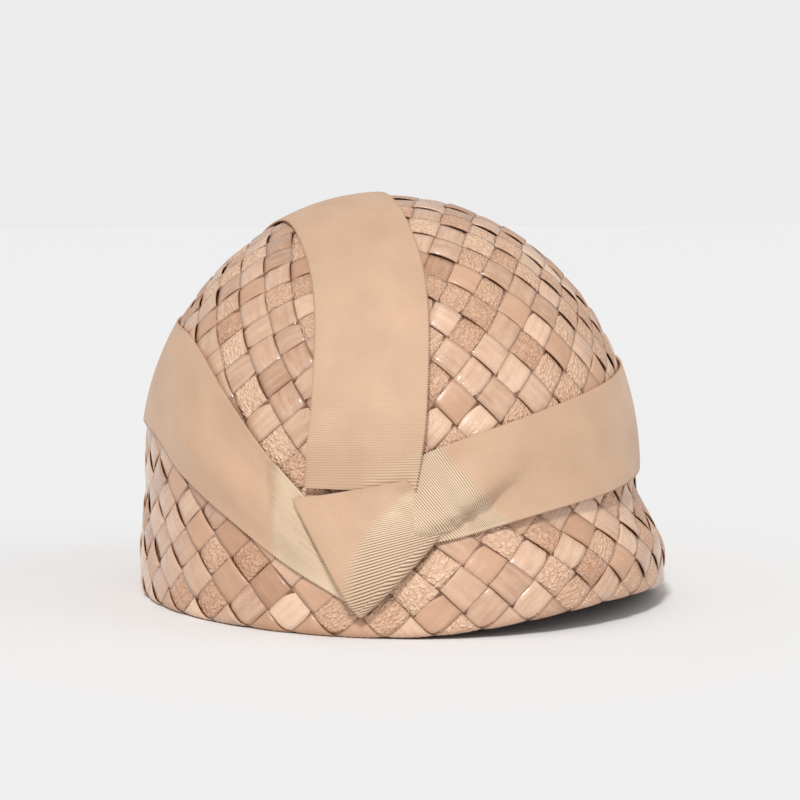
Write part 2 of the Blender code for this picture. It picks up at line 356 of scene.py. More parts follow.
def sheet_object(name, points, uv, tone, wall, material):
    """Object of many grids: points (cells, rows, columns, 3), with a map in metres and a
    tone for each vertex. A wall above 0 is added on the side that the faces look to, and
    one under 0 on their other side."""
    cells, rows, columns = points.shape[:3]
    index = np.arange(cells * rows * columns).reshape(cells, rows, columns)
    quads = np.stack([index[:, :-1, :-1], index[:, 1:, :-1], index[:, 1:, 1:],
                      index[:, :-1, 1:]], axis=-1).reshape(-1, 4)
    mesh = bpy.data.meshes.new(name)
    mesh.vertices.add(cells * rows * columns)
    mesh.vertices.foreach_set("co", points.reshape(-1).astype(np.float32))
    mesh.loops.add(quads.size)
    mesh.loops.foreach_set("vertex_index", quads.reshape(-1).astype(np.int32))
    mesh.polygons.add(len(quads))
    mesh.polygons.foreach_set("loop_start", np.arange(0, quads.size, 4, dtype=np.int32))
    mesh.update(calc_edges=True)
    layer = mesh.uv_layers.new(name="cloth")
    flat = uv.reshape(-1, 2)[quads.reshape(-1)]
    layer.data.foreach_set("uv", flat.reshape(-1).astype(np.float32))
    shade = mesh.attributes.new("tone", "FLOAT", "POINT")
    shade.data.foreach_set("value", tone.reshape(-1).astype(np.float32))
    mesh.shade_smooth()
    mesh.materials.append(material)
    made = bpy.data.objects.new(name, mesh)
    bpy.context.scene.collection.objects.link(made)
    skin = made.modifiers.new("thickness", "SOLIDIFY")
    skin.thickness = abs(wall)
    skin.offset = 1.0 if wall > 0.0 else -1.0
    return made


# Node helpers

class Net:
    """Short ways to add shader nodes to one tree."""

    def __init__(self, tree):
        self.tree = tree

    def add(self, kind, **settings):
        made = self.tree.nodes.new(kind)
        for key, value in settings.items():
            setattr(made, key, value)
        return made

    def wire(self, value, socket):
        if isinstance(value, bpy.types.NodeSocket):
            self.tree.links.new(value, socket)
        else:
            socket.default_value = value

    def math(self, operation, *values):
        made = self.add("ShaderNodeMath", operation=operation)
        for value, socket in zip(values, made.inputs):
            self.wire(value, socket)
        return made.outputs[0]

    def remap(self, value, low, high, to_low, to_high):
        made = self.add("ShaderNodeMapRange", clamp=True)
        self.wire(value, made.inputs["Value"])
        for name, number in (("From Min", low), ("From Max", high),
                             ("To Min", to_low), ("To Max", to_high)):
            self.wire(number, made.inputs[name])
        return made.outputs["Result"]

    def mix(self, share, first, second):
        made = self.add("ShaderNodeMix", data_type="RGBA")
        self.wire(share, made.inputs[0])
        self.wire(first, made.inputs[6])
        self.wire(second, made.inputs[7])
        return made.outputs[2]

    def stretched(self, vector, x, y):
        made = self.add("ShaderNodeMapping")
        self.wire(vector, made.inputs["Vector"])
        made.inputs["Scale"].default_value = (x, y, 1.0)
        return made.outputs["Vector"]

    def noise(self, vector, detail, rough):
        made = self.add("ShaderNodeTexNoise")
        self.wire(vector, made.inputs["Vector"])
        made.inputs["Scale"].default_value = 1.0
        made.inputs["Detail"].default_value = detail
        made.inputs["Roughness"].default_value = rough
        return made.outputs["Fac"]


def node_group(name, inputs, outputs):
    """Empty shader group with named sockets, its helper, and its two ends."""
    tree = bpy.data.node_groups.new(name, "ShaderNodeTree")
    for label, kind, value in inputs:
        socket = tree.interface.new_socket(label, in_out="INPUT", socket_type=kind)
        if value is not None:
            socket.default_value = value
    for label, kind in outputs:
        tree.interface.new_socket(label, in_out="OUTPUT", socket_type=kind)
    net = Net(tree)
    start = net.add("NodeGroupInput")
    end = net.add("NodeGroupOutput")
    return tree, net, start.outputs, end.inputs


FLOAT = "NodeSocketFloat"
COLOUR = "NodeSocketColor"
VECTOR = "NodeSocketVector"


def straw_grain_group():
    """Fine lines along a straw, a slow drift of shade, a darker rim by its edges that is partly
    edge wear and partly painted shade, and painted shade at its ends where it tucks under."""
    tree, net, start, end = node_group(
        "straw grain",
        [("Map", VECTOR, None), ("Tone", FLOAT, 0.5), ("Dark", COLOUR, None),
         ("Light", COLOUR, None), ("Edge", COLOUR, None), ("Line strength", FLOAT, 0.4)],
        [("Colour", COLOUR), ("Height", FLOAT), ("Gloss", FLOAT)])
    fine = net.noise(net.stretched(start["Map"], 90.0, 3800.0), 3.0, 0.6)
    broad = net.noise(net.stretched(start["Map"], 60.0, 420.0), 2.0, 0.5)
    blotch = net.noise(net.stretched(start["Map"], 170.0, 170.0), 2.0, 0.5)
    lines = net.math("SUBTRACT", fine, 0.5)
    drift = net.math("SUBTRACT", broad, 0.5)
    shade = net.math("ADD", start["Tone"],
                     net.math("ADD", net.math("MULTIPLY", lines, start["Line strength"]),
                              net.math("MULTIPLY", drift, 0.7)))
    shade = net.math("ADD", shade, net.math("MULTIPLY", net.math("SUBTRACT", blotch, 0.5), 0.5))
    body = net.mix(net.remap(shade, 0.0, 1.0, 0.0, 1.0), start["Dark"], start["Light"])
    split = net.add("ShaderNodeSeparateXYZ")
    net.wire(start["Map"], split.inputs[0])
    across = net.math("FRACT", net.math("MULTIPLY", split.outputs["Y"], 1.0 / MAP_CELL))
    side = net.math("ABSOLUTE", net.math("SUBTRACT", across, 0.5))
    # Darker rim along the float's sides: partly edge wear, partly painted shade in the gaps
    # between strips.
    rim = net.remap(side, 0.270, 0.291, 0.0, 1.0)
    along = net.math("FRACT", net.math("MULTIPLY", split.outputs["X"], 1.0 / MAP_CELL))
    end_side = net.math("ABSOLUTE", net.math("SUBTRACT", along, 0.5))
    # Painted shade at the float's ends, where it tucks under the next strip.
    tip = net.remap(end_side, 0.285, 0.325, 0.0, 0.85)
    wear_and_shade = net.math("MAXIMUM", net.math("MULTIPLY", rim, 0.35), tip)
    net.wire(net.mix(wear_and_shade, body, start["Edge"]), end["Colour"])
    height = net.math("ADD", net.math("MULTIPLY", lines, 0.6), drift)
    net.wire(height, end["Height"])
    net.wire(net.remap(net.math("ADD", broad, blotch), 0.7, 1.3, 0.0, 1.0), end["Gloss"])
    return tree


def crinkle_group():
    """Embossed straw: rows of small wriggling beads, with painted shade in the hollows between
    them.
    """
    tree, net, start, end = node_group(
        "crinkle emboss", [("Map", VECTOR, None), ("Bead", FLOAT, 800.0)],
        [("Height", FLOAT), ("Hollow shade", FLOAT)])
    bend = net.add("ShaderNodeTexNoise")
    net.wire(start["Map"], bend.inputs["Vector"])
    bend.inputs["Scale"].default_value = 420.0
    offset = net.add("ShaderNodeVectorMath", operation="SCALE")
    net.wire(bend.outputs["Color"], offset.inputs[0])
    offset.inputs["Scale"].default_value = 0.0018
    moved = net.add("ShaderNodeVectorMath", operation="ADD")
    net.wire(start["Map"], moved.inputs[0])
    net.wire(offset.outputs[0], moved.inputs[1])
    beads = net.add("ShaderNodeTexVoronoi", feature="SMOOTH_F1")
    net.wire(net.stretched(moved.outputs[0], 0.75, 1.15), beads.inputs["Vector"])
    net.wire(start["Bead"], beads.inputs["Scale"])
    beads.inputs["Smoothness"].default_value = 0.4
    height = net.remap(beads.outputs["Distance"], 0.15, 0.75, 1.0, 0.0)
    net.wire(height, end["Height"])
    # Mask of the hollows between beads, where the straw gets painted shade.
    net.wire(net.remap(height, 0.15, 0.75, 1.0, 0.0), end["Hollow shade"])
    return tree


def grosgrain_group():
    """Ribs across a ribbon: a cosine along its length, with a slow drift of shade.
    Strength is how far the ribs show: there the ribbon is painted paler, a painted highlight,
    and the grooves get painted shade."""
    tree, net, start, end = node_group(
        "grosgrain",
        [("Map", VECTOR, None), ("Strength", FLOAT, 0.2), ("Pitch", FLOAT, RIB_PITCH),
         ("Dark", COLOUR, None), ("Light", COLOUR, None), ("Crest highlight", COLOUR, None),
         ("Groove shade", COLOUR, None)],
        [("Colour", COLOUR), ("Height", FLOAT)])
    split = net.add("ShaderNodeSeparateXYZ")
    net.wire(start["Map"], split.inputs[0])
    turn = net.math("DIVIDE", net.math("MULTIPLY", split.outputs["X"], 2.0 * math.pi),
                    start["Pitch"])
    wave = net.math("ADD", net.math("MULTIPLY", net.math("COSINE", turn), 0.5), 0.5)
    slow = net.noise(net.stretched(start["Map"], 45.0, 60.0), 3.0, 0.5)
    fibre = net.noise(net.stretched(start["Map"], 5000.0, 700.0), 2.0, 0.6)
    shade = net.math("ADD", net.math("MULTIPLY", slow, 0.75), net.math("MULTIPLY", fibre, 0.25))
    body = net.mix(net.remap(shade, 0.3, 0.7, 0.0, 1.0), start["Dark"], start["Light"])
    # Painted highlight: where the ribs show, the colour turns towards the pale crest colour.
    body = net.mix(net.math("MULTIPLY", start["Strength"], 0.75), body, start["Crest highlight"])
    # Painted shade in the grooves, deeper where the ribs show.
    groove_shade = net.math("MULTIPLY", net.math("POWER", net.math("SUBTRACT", 1.0, wave), 1.1),
                      net.remap(start["Strength"], 0.0, 1.0, 0.03, 1.0))
    net.wire(net.mix(groove_shade, body, start["Groove shade"]), end["Colour"])
    relief = net.math("MULTIPLY", wave, net.remap(start["Strength"], 0.0, 1.0, 0.15, 1.0))
    net.wire(net.math("ADD", relief, net.math("MULTIPLY", fibre, 0.2)), end["Height"])
    return tree


def cloth_group():
    """Fine plain weave for the head band, with a slow drift of shade."""
    tree, net, start, end = node_group(
        "plain cloth", [("Map", VECTOR, None), ("Thread", FLOAT, 0.0006), ("Dark", COLOUR, None),
                        ("Light", COLOUR, None)],
        [("Colour", COLOUR), ("Height", FLOAT)])
    split = net.add("ShaderNodeSeparateXYZ")
    net.wire(start["Map"], split.inputs[0])
    waves = []
    for axis in ("X", "Y"):
        turn = net.math("DIVIDE", net.math("MULTIPLY", split.outputs[axis], 2.0 * math.pi),
                        start["Thread"])
        waves.append(net.math("SINE", turn))
    weave = net.math("MULTIPLY", waves[0], waves[1])
    slow = net.noise(net.stretched(start["Map"], 30.0, 90.0), 3.0, 0.55)
    shade = net.math("ADD", slow, net.math("MULTIPLY", weave, 0.06))
    net.wire(net.mix(net.remap(shade, 0.3, 0.7, 0.0, 1.0), start["Dark"], start["Light"]),
             end["Colour"])
    net.wire(weave, end["Height"])
    return tree


def linear(red, green, blue):
    """Screen colour from 0 to 255, as the linear colour that a shader takes."""
    share = np.array([red, green, blue]) / 255.0
    value = np.where(share <= 0.04045, share / 12.92, ((share + 0.055) / 1.055) ** 2.4)
    return (*value.tolist(), 1.0)


def new_material(name, roughness, sheen=0.0, coat=0.0):
    """Material with a Principled shader; returns it, its helper and the shader."""
    material = bpy.data.materials.new(name)
    material.use_nodes = True
    shader = material.node_tree.nodes["Principled BSDF"]
    shader.inputs["Roughness"].default_value = roughness
    shader.inputs["Sheen Weight"].default_value = sheen
    shader.inputs["Coat Weight"].default_value = coat
    return material, Net(material.node_tree), shader


def own_map(net):
    """The piece's own map, in metres along and across."""
    return net.add("ShaderNodeUVMap", uv_map="cloth").outputs["UV"]


def own_tone(net):
    """The tone that each vertex carries."""
    return net.add("ShaderNodeAttribute", attribute_name="tone").outputs["Fac"]


def bumped(net, shader, height, strength, distance):
    """Feed a height to the shader's normal."""
    bump = net.add("ShaderNodeBump")
    bump.inputs["Strength"].default_value = strength
    bump.inputs["Distance"].default_value = distance
    net.wire(height, bump.inputs["Height"])
    net.wire(bump.outputs["Normal"], shader.inputs["Normal"])


GRAIN = straw_grain_group()
CRINKLE = crinkle_group()
GROSGRAIN = grosgrain_group()
CLOTH = cloth_group()


def straw_material(name, dark, light, edge, roughness, lines, bump, coat=0.0, beads=None):
    """Straw from the grain group, with beads pressed into it where asked."""
    material, net, shader = new_material(name, roughness, coat=coat)
    shader.inputs["Coat Roughness"].default_value = 0.12
    grain = net.add("ShaderNodeGroup", node_tree=GRAIN)
    place = own_map(net)
    net.wire(place, grain.inputs["Map"])
    net.wire(own_tone(net), grain.inputs["Tone"])
    grain.inputs["Dark"].default_value = linear(*dark)
    grain.inputs["Light"].default_value = linear(*light)
    grain.inputs["Edge"].default_value = linear(*edge)
    grain.inputs["Line strength"].default_value = lines
    colour = grain.outputs["Colour"]
    height = grain.outputs["Height"]
    if beads:
        press = net.add("ShaderNodeGroup", node_tree=CRINKLE)
        net.wire(place, press.inputs["Map"])
        press.inputs["Bead"].default_value = beads
        # Painted shade in the hollows between the beads, towards the dark edge colour.
        shaded = net.math("MULTIPLY", press.outputs["Hollow shade"], 0.28)
        colour = net.mix(shaded, colour, linear(*edge))
        height = net.math("ADD", net.math("MULTIPLY", height, 0.2), press.outputs["Height"])
    net.wire(colour, shader.inputs["Base Color"])
    net.wire(net.remap(grain.outputs["Gloss"], 0.0, 1.0, roughness - 0.08, roughness + 0.12),
             shader.inputs["Roughness"])
    bumped(net, shader, height, 1.0, bump)
    return material


def ribbon_material():
    """Grosgrain ribbon."""
    material, net, shader = new_material("grosgrain ribbon", 0.6, sheen=0.15)
    ribs = net.add("ShaderNodeGroup", node_tree=GROSGRAIN)
    net.wire(own_map(net), ribs.inputs["Map"])
    net.wire(own_tone(net), ribs.inputs["Strength"])
    ribs.inputs["Pitch"].default_value = RIB_PITCH
    ribs.inputs["Dark"].default_value = linear(197, 158, 128)
    ribs.inputs["Light"].default_value = linear(213, 175, 143)
    # Pale crest colour is a painted highlight and the groove colour painted shade, both where the
    # ribs show.
    ribs.inputs["Crest highlight"].default_value = linear(238, 213, 182)
    ribs.inputs["Groove shade"].default_value = linear(122, 84, 62)
    net.wire(ribs.outputs["Colour"], shader.inputs["Base Color"])
    bumped(net, shader, ribs.outputs["Height"], 0.8, 0.00012)
    return material


def band_material():
    """Smooth cloth of the head band."""
    material, net, shader = new_material("head band cloth", 0.8, sheen=0.2)
    cloth = net.add("ShaderNodeGroup", node_tree=CLOTH)
    net.wire(own_map(net), cloth.inputs["Map"])
    cloth.inputs["Dark"].default_value = linear(186, 148, 116)
    cloth.inputs["Light"].default_value = linear(206, 168, 136)
    net.wire(cloth.outputs["Colour"], shader.inputs["Base Color"])
    bumped(net, shader, cloth.outputs["Height"], 0.4, 0.00006)
    return material


# Dark colour for the straw's rims (edge wear and painted shade), its tucked ends and the
# crinkle's hollows (painted shade).
EDGE = (120, 78, 56)
STRAWS = {
    "straw_satin": straw_material("satin straw", (188, 144, 115), (244, 206, 176), EDGE,
                                  0.25, 0.35, 0.0004, coat=0.5),
    "straw_crinkle": straw_material("crinkled straw", (216, 166, 133), (252, 213, 181), EDGE,
                                    0.36, 0.2, 0.0006, beads=900.0),
    "straw_matte": straw_material("matte straw", (178, 134, 105), (216, 173, 142), EDGE,
                                  0.40, 0.7, 0.00015, coat=0.1),
}


# The straw

def float_points(chosen, on_q, share_along, share_across, lift, loose):
    """Points of each chosen cell's float: a strip bowed over the cell and tucked at both
    ends. A point is the hat's skin plus its normal times a height: lift(shares) plus a
    small tilt, always under loose, all lower round the hem, less BASE_SINK. Arc lengths past
    the end of the leg are squeezed by a soft minimum."""
    along = share_along[None, :, None]
    across = share_across[None, None, :]
    flag = on_q[chosen][:, None, None]
    p = CELL_I[chosen][:, None, None] + np.where(flag, across, along)
    q = CELL_J[chosen][:, None, None] + np.where(flag, along, across)
    sector = CELL_SECTOR[chosen][:, None, None] + np.zeros_like(p)
    bearing, arc = weave_place(p, q, sector)
    most = 30.0
    over = np.minimum((arc - ARC_END) / HEM_SQUEEZE, most)
    arc = np.minimum(arc, ARC_END + HEM_SQUEEZE * most) - HEM_SQUEEZE * np.log1p(np.exp(over))
    station = np.where(arc < ARCS[0], STATIONS[0] * arc / ARCS[0],
                       np.interp(arc, ARCS, STATIONS))
    number = np.flatnonzero(chosen)
    lean = (hashed(number, 11) - 0.5)[:, None, None] * (along - 0.5) * loose
    roll = (hashed(number, 13) - 0.5)[:, None, None] * (across - 0.5) * loose
    calm = 1.0 - 0.45 * smooth_step((station - 1.85) / 0.3)
    height = (lift(along, across) + lean + roll) * calm - BASE_SINK
    return skin_points(bearing, station) + skin_normals(bearing, station) * height[..., None]


def outer_lift(along, across):
    """A bow, 1 - |2a - 1|^2.6 of FLOAT_RISE, that falls away past the ends of the cell,
    less a droop that grows with the sixth power of the way to its sides."""
    bow = 1.0 - np.abs(2.0 * along - 1.0) ** 2.6
    side = np.abs(2.0 * across - 1.0) ** 6.0
    return FLOAT_RISE * bow - FLOAT_DROOP * side


def inner_lift(along, across):
    """A flatter bow turned inwards, 1 - |2a - 1|^3.2, BACK_DEPTH behind the outer floats
    and level across."""
    bow = 1.0 - np.abs(2.0 * along - 1.0) ** 3.2
    return -FLOAT_RISE * bow - BACK_DEPTH + 0.0 * across


CELL_I, CELL_J, CELL_SECTOR = weave_cells()
P_ON_TOP = (CELL_I + CELL_J) % 2 == 0


def reduced_strip(first, sector, turn):
    """Quarter-free number of a strip: a number past the corner goes on in the quarter
    beside it, STRIPS lower."""
    number, quarter = first.copy(), sector.copy()
    for _ in range(6):
        past = number >= STRIPS
        number = np.where(past, number - STRIPS, number)
        quarter = np.where(past, quarter + turn, quarter)
    shift = quarter + (1 if turn > 0 else 0)
    return (number - shift * STRIPS) % (4 * STRIPS)


def make_straw(name, chosen, on_q, lift, loose, rows, columns, ends, gap, material):
    """One piece of straw floats for the chosen cells, which run on past their cell by a
    share ends and stay inside their strip by a share gap."""
    share_along = np.linspace(-ends, 1.0 + ends, rows)
    share_across = np.linspace(gap, 1.0 - gap, columns)
    points = float_points(chosen, on_q, share_along, share_across, lift, loose)
    pitch = CELL_SCALE * MEAN_RADIUS
    lane = np.arange(int(chosen.sum()))[:, None, None]
    map_x = (share_along[None, :, None] - 0.5) * pitch + MAP_CELL * (lane % MAP_LANES + 0.5)
    map_y = (share_across[None, None, :] - 0.5) * pitch + MAP_CELL * (lane // MAP_LANES + 0.5)
    uv = np.stack(np.broadcast_arrays(map_x, map_y), axis=-1)
    strip = np.where(on_q[chosen], P_STRIP[chosen], Q_STRIP[chosen])
    tone = 0.2 + 0.5 * hashed(strip, 7) + 0.45 * (hashed(np.flatnonzero(chosen), 3) - 0.35)
    tone = np.broadcast_to(tone[:, None, None], points.shape[:3])
    return sheet_object(name, points, uv, tone, -STRAW_THICK, material)


P_STRIP = reduced_strip(CELL_I, CELL_SECTOR, -1)
Q_STRIP = reduced_strip(CELL_J, CELL_SECTOR, 1)
TOP_STRIP = np.where(P_ON_TOP, P_STRIP, Q_STRIP)
KIND = np.array([STRIP_KINDS[number] for number in TOP_STRIP.tolist()])

straw_pieces = []
for letter, name in (("S", "straw_satin"), ("C", "straw_crinkle"), ("M", "straw_matte")):
    straw_pieces.append(make_straw(name, KIND == letter, P_ON_TOP, outer_lift, FLOAT_LEAN,
                                   FLOAT_ROWS, FLOAT_COLUMNS, FLOAT_TUCK, FLOAT_GAP,
                                   STRAWS[name]))
_, middle_arc = weave_place(CELL_I + 0.5, CELL_J + 0.5, CELL_SECTOR)
above_hem = middle_arc < float(np.interp(2.0, STATIONS, ARCS))
straw_pieces.append(make_straw("straw_inner", above_hem, ~P_ON_TOP, inner_lift, 0.0,
                               BACK_ROWS, BACK_COLUMNS, BACK_TUCK, BACK_GAP,
                               STRAWS["straw_matte"]))
for piece in straw_pieces:
    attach(piece, "root")
    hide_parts("woven_crown")


# The ribbons

def reach(way):
    """Distance from the crown's middle to the outer surface along unit vectors.

    Over the shoulder it is the ellipsoid's formula. Under it the wall's oval at the
    height that the last guess gives is met again and again."""
    half_width = 0.5 * CROWN_WIDTH
    half_length = 0.5 * CROWN_LENGTH
    spread = (way[..., 0] / half_width) ** 2 + (way[..., 1] / half_length) ** 2
    dome = 1.0 / np.sqrt(spread + (way[..., 2] / DOME_HEIGHT) ** 2)
    distance = 1.0 / np.sqrt(np.maximum(spread, 1e-9))
    lift = brow_lift(np.degrees(np.arctan2(way[..., 1], way[..., 0])))
    down = np.minimum(way[..., 2], 0.0)
    for _ in range(12):
        height = SHOULDER_HEIGHT + distance * down
        plain = (height - lift) / (1.0 - lift / SHOULDER_HEIGHT)
        wide, long, middle = wall_sizes(plain)
        shift = middle + CROWN_LEAN
        a = (way[..., 0] / wide) ** 2 + (way[..., 1] / long) ** 2
        b = -2.0 * way[..., 0] * shift / wide ** 2
        c = (shift / wide) ** 2 - 1.0
        distance = (-b + np.sqrt(b * b - 4.0 * a * c)) / np.maximum(2.0 * a, 1e-9)
    return np.where(way[..., 2] >= 0.0, dome, distance)


def surface_points(way):
    """Where unit vectors from the crown's middle leave the straw."""
    return MIDDLE + way * reach(way)[..., None]


def surface_normals(way):
    """Outward normals there, from two neighbours a small step away."""
    small = 0.01
    side = unit(np.cross(way, np.array([0.0, 0.0, 1.0])))
    up = np.cross(side, way)
    here = surface_points(way)
    beside = surface_points(unit(way + small * side))
    above = surface_points(unit(way + small * up))
    return unit(np.cross(above - here, beside - here))


def directions(bearing, elevation):
    """Unit vectors of bearings and elevations in degrees."""
    turn = np.radians(bearing)
    slope = np.radians(elevation)
    return np.stack(np.broadcast_arrays(np.cos(slope) * np.cos(turn),
                                        np.cos(slope) * np.sin(turn), np.sin(slope)), axis=-1)


def smooth_rows(rows, place):
    """Rows at places along a table, by a Catmull-Rom curve through them."""
    last = len(rows) - 1
    i = np.clip(np.floor(place).astype(int), 0, last - 1)
    t = (place - i)[..., None]
    before, here = rows[np.maximum(i - 1, 0)], rows[i]
    after, beyond = rows[i + 1], rows[np.minimum(i + 2, last)]
    near_slope = 0.5 * (after - before)
    far_slope = 0.5 * (beyond - here)
    rise = after - here
    return here + t * near_slope + t * t * (3.0 * rise - 2.0 * near_slope - far_slope) \
        + t ** 3 * (near_slope + far_slope - 2.0 * rise)


def route_rows(route):
    """Route table as direction, width share and layer."""
    table = np.array(route)
    return np.concatenate([directions(table[:, 0], table[:, 1]), table[:, 2:]], axis=1)


def ribbon_frame(rows, place):
    """Direction, sideways direction, half width and layer at places along a route."""
    small = 0.02
    last = len(rows) - 1
    here = smooth_rows(rows, place)
    ahead = smooth_rows(rows, np.minimum(place + small, last))
    behind = smooth_rows(rows, np.maximum(place - small, 0.0))
    way = unit(here[..., :3])
    side = unit(np.cross(way, ahead[..., :3] - behind[..., :3]))
    return way, side, 0.5 * RIBBON_WIDTH * here[..., 3], np.maximum(here[..., 4], 0.0)


ROUTE_POINTS = 1201


def even_places(rows, step):
    """Places along a route at equal lengths of its middle line, and its length."""
    fine = np.linspace(0.0, len(rows) - 1.0, ROUTE_POINTS)
    way, _, _, _ = ribbon_frame(rows, fine)
    line = surface_points(way)
    arc = np.concatenate([[0.0], np.cumsum(np.linalg.norm(np.diff(line, axis=0), axis=1))])
    count = int(round(arc[-1] / step)) + 1
    length = np.linspace(0.0, arc[-1], count)
    return np.interp(length, arc, fine), length


def rib_relief(strength, rib):
    """Height of the ribs, from a wave from -1 to 1: half of RIB_DEPTH times the wave,
    and RIB_FLAT_SHARE of that where strength is 0."""
    return RIB_DEPTH * (RIB_FLAT_SHARE + (1.0 - RIB_FLAT_SHARE) * strength) * 0.5 * rib


def make_ribbon(name, route, lift, shear, slip, showing, material):
    """Ribbon on the crown with its ribs as relief: the height is the layer's, plus lift,
    plus a cosine of the length over RIB_PITCH, as deep as showing says. shear moves points
    along the route and slip moves them across it."""
    rows = route_rows(route)
    place, length = even_places(rows, RIB_PITCH / 4.0)
    across = np.concatenate([[-1.0, -0.975], np.linspace(-0.93, 0.93, 13), [0.975, 1.0]])
    sheared = place[:, None] + shear(place[:, None], across[None, :])
    place_grid = np.clip(sheared, 0.0, len(rows) - 1.0)
    length_grid = length[:, None] + np.zeros_like(across)[None, :]
    way, side, half, layer = ribbon_frame(rows, place_grid)
    rib = np.cos(2.0 * np.pi * length_grid / RIB_PITCH)
    picot = 1.0 + SELVEDGE_TOOTH * rib * (np.abs(across[None, :]) > 0.98)
    shifted = across[None, :] * picot + slip(place_grid, across[None, :])
    moved = unit(way + side * np.tan(shifted * half / reach(way))[..., None])
    # How far the ribs show: their depth, and as the tone, the share of painted highlight and
    # groove shade.
    strength = showing(place_grid, across[None, :], moved)
    height = RIBBON_SEAT + LAYER_STEP * layer + lift(place_grid, across[None, :], length_grid) \
        + rib_relief(strength, rib)
    points = surface_points(moved) + surface_normals(moved) * height[..., None]
    uv = np.stack(np.broadcast_arrays(length_grid, across[None, :] * 0.5 * RIBBON_WIDTH), axis=-1)
    return sheet_object(name, points[None], uv[None], strength[None], RIBBON_WALL, material)


def bearing_of(way):
    """Bearings of unit vectors, in degrees."""
    return np.degrees(np.arctan2(way[..., 1], way[..., 0]))


def elevation_of(way):
    """Elevations of unit vectors, in degrees."""
    return np.degrees(np.arcsin(way[..., 2]))


# In the functions below place is a row number in a route, and across is 1 at the band's
# lower edge and at the crown strip's left one.

def band_shear(place, across):
    """Ribs fan out from the foot of the knot at both ends of the band: the lower edge
    stays behind the upper one, by an eased share of a row of the route."""
    near = smooth_step((5.5 - place) / 4.5)
    far = smooth_step((place - 14.2) / 2.2)
    lower = 0.5 * (1.0 + across)
    return -np.minimum(place, 1.9 * near * lower) - 0.85 * far * lower


def crease_line(place):
    """How far down the band the crease beside the knot lies: a straight line in
    place."""
    return 0.36 + 0.45 * (place - 15.0)


def band_slip(place, across):
    """The ridge's crest leans over the crease under it: a bell curve round the crest."""
    above = crease_line(place) - across
    bell = np.exp(-((above - RIDGE_CREST) / 0.25) ** 2)
    return RIDGE_LEAN * smooth_step((place - 14.3) / 0.9) * bell


def no_slip(place, across):
    """A ribbon whose points aren't moved across it."""
    return 0.0 * place * across


def band_lift(place, across, length):
    """Height over the straw: two sines multiplied; at the left front a sine squared
    across, for a lower edge that rolls under; a lower edge that stands proud before the
    knot; and beside the knot a ridge that eases up from crease_line and away again."""
    wave = BAND_WAVE * np.sin(length / 0.017 + across * 1.2) * np.sin(length / 0.041 + 1.0)
    rolled = smooth_step((place - 0.4) / 0.8) * (1.0 - smooth_step((place - 3.0) / 0.9))
    bulge = BAND_ROLL * rolled * np.sin(np.pi * np.clip((1.0 - across) / 1.5, 0.0, 1.0)) ** 2
    proud = BAND_EDGE_PROUD * smooth_step((across - 0.3) / 0.7) \
        * smooth_step((place - 12.5) / 1.2) * (1.0 - smooth_step((place - 14.6) / 0.8))
    above = crease_line(place) - across
    ridge = RIDGE_RISE * smooth_step((place - 14.2) / 1.0) * smooth_step(above / RIDGE_CREST) \
        * (1.0 - smooth_step((above - RIDGE_CREST) / 1.0))
    return wave + bulge + proud + ridge + RIBBON_REST


def band_showing(place, across, way):
    """Ribs show in the fan left of the knot's foot and in the one to its right, with
    eased edges, and faintly elsewhere. Where they show, the ribs are deeper and the ribbon
    gets a painted highlight and painted shade in its grooves."""
    bearing, elevation = bearing_of(way), elevation_of(way)
    left = smooth_step((bearing + 131.0) / 3.0) * (place < 4.0) * (bearing < 0.0)
    right = smooth_step((-84.0 - 0.9 * (elevation + 6.5) - bearing + 1.5) / 3.0) * (place > 13.0)
    slow = 0.10 + 0.06 * np.sin(place * 2.3) + 0.0 * across
    return np.clip(np.maximum(np.maximum(left, right), slow), 0.0, 1.0)


def strip_shear(place, across):
    """The crown strip's ribs lean with the crease at its foot, then run straight across."""
    return 0.25 * (1.0 - smooth_step(place / 1.3)) * 0.5 * (1.0 - across)


def strip_lift(place, across, length):
    """Height over the straw: a low sine, and over the crown's front a rise that grows with
    the square of the way to the left edge and eases down to the crease at the foot."""
    front = 1.0 - smooth_step((length - 0.06) / 0.06)
    left = smooth_step((across - 0.1) / 0.9)
    wave = STRIP_WAVE * np.sin(length / 0.019 + across)
    rise = (STRIP_EDGE_PROUD * left * left + STRIP_RISE) * smooth_step(length / 0.016)
    return wave + RIBBON_REST + rise * front


def strip_showing(place, across, way):
    """Ribs show in a wedge over the crease at the strip's foot, wider to the right. There
    the ribbon gets a painted highlight along the crease, with painted shade in the grooves.
    """
    bearing, elevation = bearing_of(way), elevation_of(way)
    limit = -2.0 + 9.5 * smooth_step((bearing + 121.0) / 21.0)
    foot = smooth_step((limit - elevation + 1.0) / 2.5)
    slow = 0.10 + 0.05 * np.sin(place * 3.1) + 0.0 * across
    return np.clip(np.maximum(0.5 * foot, slow), 0.0, 1.0)


RIBBON = ribbon_material()
band = make_ribbon("grosgrain_band", BAND_ROUTE, band_lift, band_shear, band_slip,
                   band_showing, RIBBON)
strip = make_ribbon("grosgrain_crown_strip", STRIP_ROUTE, strip_lift, strip_shear, no_slip,
                    strip_showing, RIBBON)


